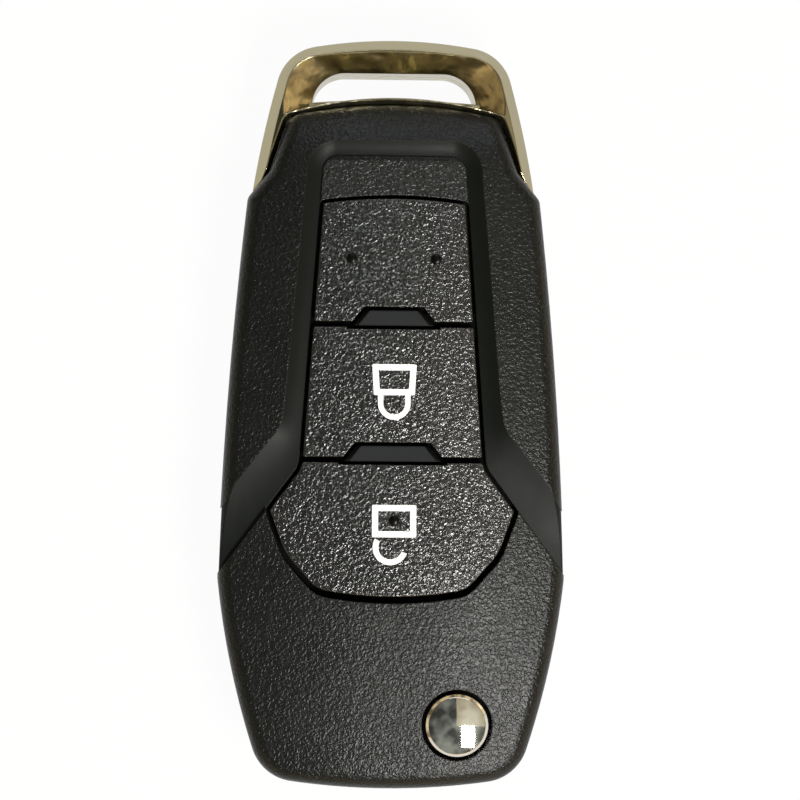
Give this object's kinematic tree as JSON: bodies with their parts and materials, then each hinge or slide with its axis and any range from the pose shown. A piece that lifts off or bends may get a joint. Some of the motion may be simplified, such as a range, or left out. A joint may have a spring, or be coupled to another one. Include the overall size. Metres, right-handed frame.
{
  "type": "key fob shell",
  "caption": "Folding car key remote: textured black casing with lock, unlock and blank keys, a chrome key-ring loop and a round chrome button that lets the blade swing out.",
  "frame": {"origin": "on the surface that the fob lies on, under the middle of its outline", "axes": "+X right as seen from the keys, +Y towards the key-ring loop, +Z out of the key face"},
  "size_m": [0.0372, 0.0806, 0.0153],
  "materials": {
    "cover_plastic": "fine moulded grain, with a smooth band round the keys",
    "key_plastic": "coarse moulded grain",
    "loop_chrome": "polished plated casting",
    "button_chrome": "polished",
    "mat_silicone": "matt silicone",
    "board_laminate": "green solder mask",
    "switch_metal": "pressed tin plate",
    "plunger_plastic": "moulded",
    "chip_plastic": "moulded, plain",
    "can_metal": "drawn can",
    "coil_wire": "varnished winding",
    "tray_plastic": "moulded",
    "cell_steel": "plain nickel plated can",
    "contact_steel": "pressed strip",
    "carrier_metal": "zinc casting, satin nickel",
    "blade_steel": "nickel plated, uncut",
    "spring_steel": "drawn wire"
  },
  "bodies": {
    "case": {"front_cover": "cover_plastic", "rear_cover": "cover_plastic", "key_ring_loop": "loop_chrome", "keypad_mat": "mat_silicone", "circuit_board": "board_laminate", "lock_switch": "switch_metal", "unlock_switch": "switch_metal", "remote_chip": "chip_plastic", "crystal_can": "can_metal", "transponder_coil": "coil_wire", "board_tray": "tray_plastic", "coin_cell": "cell_steel", "positive_contact": "contact_steel", "negative_contact": "contact_steel"},
    "blade": {"blade_carrier": "carrier_metal", "key_blade": "blade_steel", "blade_roll_pin": "spring_steel", "pivot_spring": "spring_steel"},
    "release_button": {"release_button": "button_chrome"},
    "blank_key": {"blank_key": "key_plastic"},
    "lock_key": {"lock_key": "key_plastic", "lock_switch_plunger": "plunger_plastic"},
    "unlock_key": {"unlock_key": "key_plastic", "unlock_switch_plunger": "plunger_plastic"}
  },
  "joints": [
    {"name": "blade_swing", "type": "hinge", "parent": "case", "child": "blade", "pos_m": [0.0071, -0.0333, 0.008], "axis": [0, 0, -1], "range_deg": [0, 180]},
    {"name": "release_press", "type": "slide", "parent": "blade", "child": "release_button", "axis": [0, 0, -1], "range_m": [0, 0.002], "stiffness_N_per_m": 1500, "springref_m": -0.0005, "deforming": ["pivot_spring"]},
    {"name": "blank_key_press", "type": "slide", "parent": "case", "child": "blank_key", "axis": [0, 0, -1], "range_m": [0, 0.00045], "stiffness_N_per_m": 2000, "springref_m": -0.0002, "deforming": ["keypad_mat"]},
    {"name": "lock_key_press", "type": "slide", "parent": "case", "child": "lock_key", "axis": [0, 0, -1], "range_m": [0, 0.00045], "stiffness_N_per_m": 2000, "springref_m": -0.0002, "deforming": ["keypad_mat"]},
    {"name": "unlock_key_press", "type": "slide", "parent": "case", "child": "unlock_key", "axis": [0, 0, -1], "range_m": [0, 0.00045], "stiffness_N_per_m": 2000, "springref_m": -0.0002, "deforming": ["keypad_mat"]}
  ]
}
